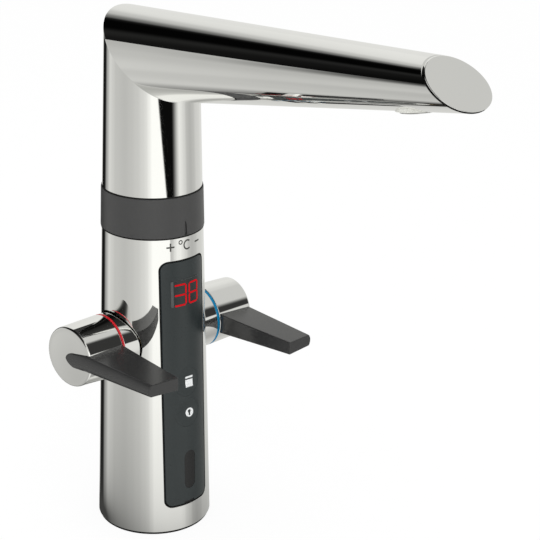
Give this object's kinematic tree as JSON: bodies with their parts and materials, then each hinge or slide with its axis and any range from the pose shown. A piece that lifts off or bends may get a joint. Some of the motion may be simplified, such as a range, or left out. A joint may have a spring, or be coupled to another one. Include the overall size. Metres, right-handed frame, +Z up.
{
  "type": "kitchen mixer tap",
  "caption": "Tapered column mixer tap with a swivelling tapered spout, two side levers, a turning temperature ring and a touchless control panel with a display.",
  "frame": {"origin": "centre of the base seal's underside, on the worktop", "axes": "+Z up along the column, -Y the way the panel and the spout point, +X towards the cold lever"},
  "size_m": [0.1122, 0.2373, 0.346],
  "materials": {
    "rubber": "matte",
    "chrome": "polished",
    "brass": "machined",
    "steel": "machined",
    "bearing": "moulded",
    "ring_grey": "satin",
    "lever_charcoal": "satin",
    "hot_red": "gloss",
    "cold_blue": "gloss",
    "panel_dark": "gloss",
    "window_black": "gloss",
    "digit_red": "lit",
    "inner_black": "moulded",
    "board": "laminate"
  },
  "bodies": {
    "body": {"base_gasket": "rubber", "base_flange": "brass", "mounting_shank": "brass", "clamp_gasket": "rubber", "clamp_washer": "steel", "shank_nut": "brass", "body_shell": "chrome", "shell_screw": "steel", "base_screws": "steel", "water_body": "brass", "solenoid_valve": "inner_black", "temperature_probe": "steel", "neck": "brass", "neck_orings": "rubber", "thrust_washer": "bearing", "ring_bush": "bearing", "position_sensor": "inner_black", "sleeve_hot": "chrome", "sleeve_cold": "chrome", "hot_ring": "hot_red", "cold_ring": "cold_blue", "cartridge_hot": "brass", "cartridge_cold": "brass", "control_panel": "panel_dark", "panel_gasket": "rubber", "panel_carrier": "inner_black", "panel_latch": "inner_black", "circuit_board": "board", "display_module": "window_black", "display_digits": "digit_red", "button_switches": "steel", "sensor_window": "window_black", "sensor_module": "inner_black"},
    "spout": {"spout": "chrome", "spout_socket": "brass", "spout_screw": "steel", "spout_waterway": "bearing", "aerator_socket": "bearing", "aerator": "steel", "spout_gasket": "rubber", "spout_cap": "chrome"},
    "ring": {"temperature_ring": "ring_grey", "ring_magnets": "steel"},
    "handle_hot": {"hub_hot": "chrome", "spindle_hot": "steel", "hub_screw_hot": "steel", "lever_hot": "lever_charcoal"},
    "handle_cold": {"hub_cold": "chrome", "spindle_cold": "steel", "hub_screw_cold": "steel", "lever_cold": "lever_charcoal"},
    "button_upper": {"button_upper": "panel_dark"},
    "button_lower": {"button_lower": "panel_dark"}
  },
  "joints": [
    {"name": "spout_swivel", "type": "hinge", "parent": "body", "child": "spout", "pos_m": [0, 0, 0.205], "axis": [0, 0, 1], "range_deg": [-60, 60]},
    {"name": "ring_turn", "type": "hinge", "parent": "body", "child": "ring", "pos_m": [0, 0, 0.174], "axis": [0, 0, 1], "range_deg": [-30, 30]},
    {"name": "hot_turn", "type": "hinge", "parent": "body", "child": "handle_hot", "pos_m": [-0.04, 0, 0.1047], "axis": [-1, 0, 0], "range_deg": [0, 90]},
    {"name": "cold_turn", "type": "hinge", "parent": "body", "child": "handle_cold", "pos_m": [0.04, 0, 0.1047], "axis": [-1, 0, 0], "range_deg": [0, 90]},
    {"name": "upper_press", "type": "slide", "parent": "body", "child": "button_upper", "axis": [0, 1, 0], "range_m": [0, 0.0008], "stiffness_N_per_m": 400},
    {"name": "lower_press", "type": "slide", "parent": "body", "child": "button_lower", "axis": [0, 1, 0], "range_m": [0, 0.0008], "stiffness_N_per_m": 400}
  ]
}
